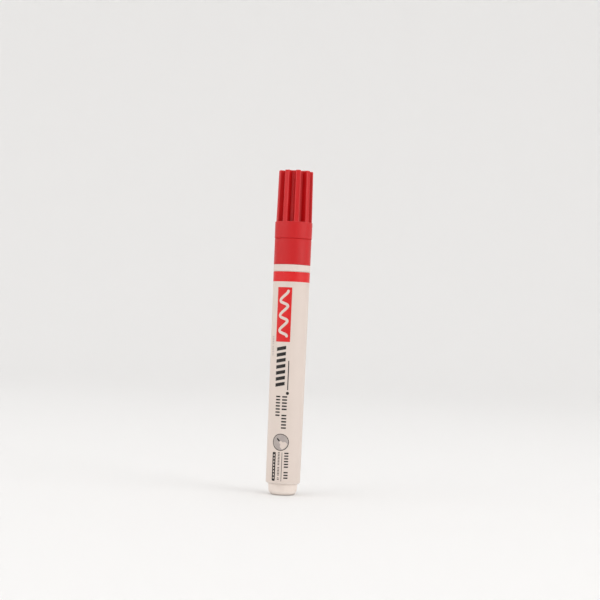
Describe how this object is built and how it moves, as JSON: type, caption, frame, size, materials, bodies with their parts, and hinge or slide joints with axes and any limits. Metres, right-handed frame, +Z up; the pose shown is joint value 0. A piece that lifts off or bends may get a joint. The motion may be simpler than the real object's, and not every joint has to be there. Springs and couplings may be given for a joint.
{
  "type": "whiteboard marker",
  "caption": "Capped bullet-tip whiteboard marker: a white tapered barrel with a narrow tail, and a red cap with a fluted grip that pulls off along the marker's axis.",
  "frame": {"origin": "centre of the flat end of the tail, which the marker stands on", "axes": "+Z up along the marker's axis, from the tail to the top of the cap; -Y is the front, where the printed panel is; +X is to the right seen from the front"},
  "size_m": [0.0156, 0.0156, 0.1364],
  "materials": {
    "printed_white_plastic": "satin white polypropylene that takes the printing",
    "red_ink": "cured red printing ink",
    "black_ink": "cured black printing ink",
    "grey_ink": "cured grey printing ink",
    "white_plastic": "satin white polypropylene",
    "red_plastic": "satin red polypropylene",
    "inked_nib": "bonded polyester fibre soaked in red ink",
    "inked_fibre": "loose polyester fibre soaked in red ink",
    "clear_film": "thin clear polyester film"
  },
  "bodies": {
    "marker_body": {"barrel": "printed_white_plastic", "end_plug": "white_plastic", "nib_holder": "white_plastic", "nib": "inked_nib", "reservoir_core": "inked_fibre", "reservoir_film": "clear_film"},
    "cap": {"cap": "red_plastic"}
  },
  "joints": [
    {"name": "cap_pull", "type": "slide", "parent": "marker_body", "child": "cap", "axis": [0, 0, 1], "range_m": [0, 0.045]}
  ]
}
